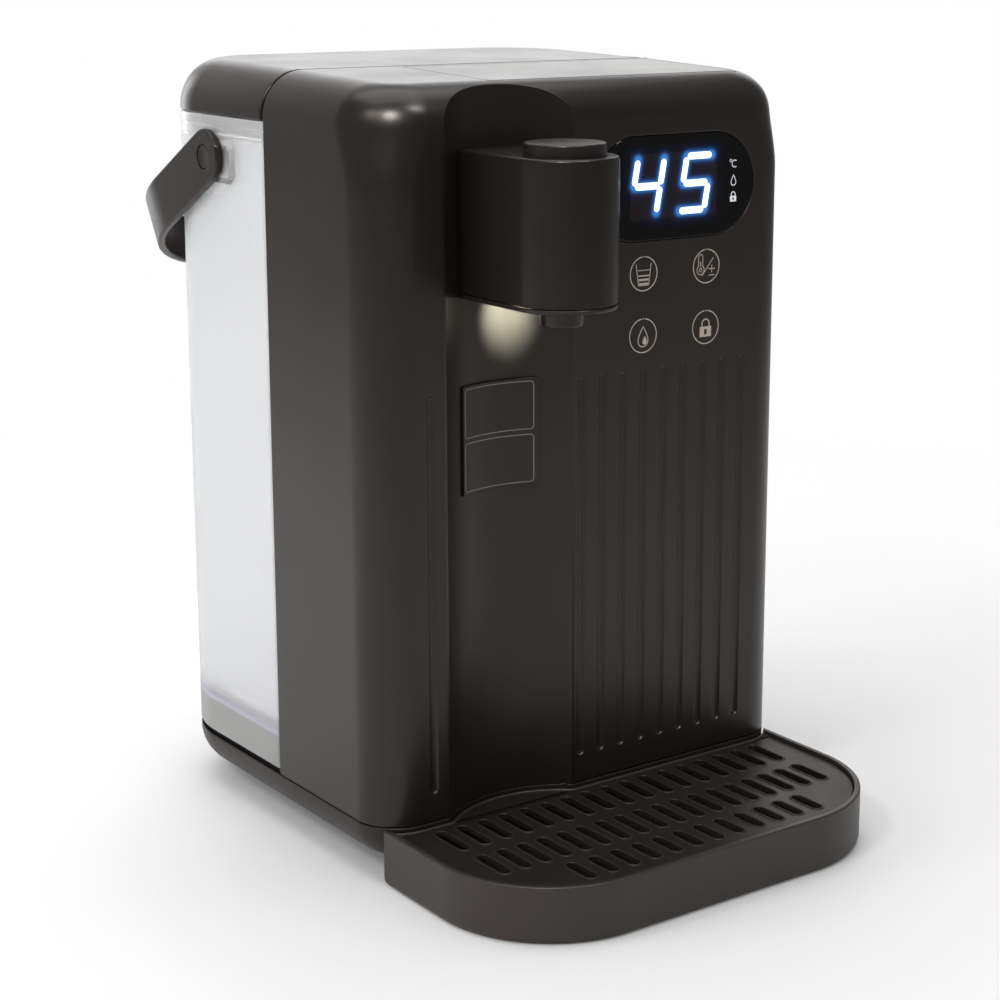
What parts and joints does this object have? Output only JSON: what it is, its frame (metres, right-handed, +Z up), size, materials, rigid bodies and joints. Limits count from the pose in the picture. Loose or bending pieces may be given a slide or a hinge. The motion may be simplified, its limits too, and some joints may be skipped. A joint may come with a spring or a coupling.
{
  "type": "hot and cold water dispenser",
  "caption": "Countertop water dispenser with a lift-off rear tank and lid, carrying bail, spout with a push button, touch display and a removable drip tray.",
  "frame": {"origin": "centre of the bounding box at the level of the surface that the feet and the tray stand on", "axes": "+X to the right seen from the front, +Y from the spout towards the tank, +Z up"},
  "size_m": [0.2128, 0.296, 0.3121],
  "materials": {
    "dark_plastic": "satin, dark brown",
    "tray_plastic": "satin, dark brown",
    "grille_plastic": "satin, near black",
    "black_plastic": "plain",
    "white_plastic": "plain",
    "clear_plastic": "clear, lightly frosted",
    "black_glass": "polished",
    "lamp_clear": "clear",
    "board_green": "solder mask",
    "steel": "plain",
    "rubber": "matt",
    "clear_rubber": "milky silicone"
  },
  "bodies": {
    "dispenser_body": {"front_shell": "dark_plastic", "top_panel": "dark_plastic", "display_window": "black_glass", "display_board": "black_plastic", "touch_board": "board_green", "power_board": "board_green", "channel_plate": "dark_plastic", "rear_bulkhead": "dark_plastic", "bulkhead_screw_1": "steel", "bulkhead_screw_2": "steel", "bulkhead_screw_3": "steel", "bulkhead_screw_4": "steel", "spout_housing": "dark_plastic", "spout_cover": "dark_plastic", "outlet_nozzle": "dark_plastic", "lamp_lens": "lamp_clear", "lamp_board": "board_green", "button_bracket": "dark_plastic", "button_switch": "black_plastic", "button_spring": "steel", "heater": "steel", "heater_bracket": "steel", "thermostat": "steel", "pump_body": "black_plastic", "pump_cover": "black_plastic", "tank_hose": "clear_rubber", "pump_hose": "clear_rubber", "outlet_hose": "clear_rubber", "base_housing": "dark_plastic", "foot_front_left": "rubber", "foot_rear_left": "rubber", "foot_front_right": "rubber", "foot_rear_right": "rubber", "cord_gland": "rubber", "tank_deck": "dark_plastic", "deck_screw_1": "steel", "deck_screw_2": "steel", "dock_socket": "black_plastic", "dock_seal": "rubber"},
    "tank": {"water_tank": "clear_plastic", "valve_body": "white_plastic", "valve_spring": "steel"},
    "lid": {"tank_lid": "dark_plastic", "lid_seal": "rubber"},
    "bail": {"tank_bail": "dark_plastic", "bail_pin_left": "dark_plastic", "bail_pin_right": "dark_plastic"},
    "plunger": {"valve_plunger": "white_plastic", "valve_seal": "rubber"},
    "tray": {"drip_tray": "tray_plastic"},
    "grille": {"drip_grille": "grille_plastic"},
    "button": {"top_button": "dark_plastic"},
    "impeller": {"pump_impeller": "white_plastic"}
  },
  "joints": [
    {"name": "tank_lift", "type": "slide", "parent": "dispenser_body", "child": "tank", "axis": [0, 0, 1], "range_m": [0, 0.3]},
    {"name": "lid_lift", "type": "slide", "parent": "tank", "child": "lid", "axis": [0, 0, 1], "range_m": [0, 0.06]},
    {"name": "bail_swing", "type": "hinge", "parent": "tank", "child": "bail", "pos_m": [0, 0.05849, 0.2742], "axis": [1, 0, 0], "range_deg": [0, 170]},
    {"name": "valve_lift", "type": "slide", "parent": "tank", "child": "plunger", "axis": [0, 0, 1], "range_m": [0, 0.003], "stiffness_N_per_m": 300, "deforming": ["valve_spring"]},
    {"name": "tray_pull", "type": "slide", "parent": "dispenser_body", "child": "tray", "axis": [0, -1, 0], "range_m": [0, 0.13]},
    {"name": "grille_lift", "type": "slide", "parent": "tray", "child": "grille", "axis": [0, 0, 1], "range_m": [0, 0.05]},
    {"name": "button_press", "type": "slide", "parent": "dispenser_body", "child": "button", "axis": [0, 0, -1], "range_m": [0, 0.0015], "stiffness_N_per_m": 600, "deforming": ["button_spring"]},
    {"name": "impeller_spin", "type": "hinge", "parent": "dispenser_body", "child": "impeller", "pos_m": [0.045, -0.01731, 0.04], "axis": [0, 0, 1], "continuous": true}
  ]
}
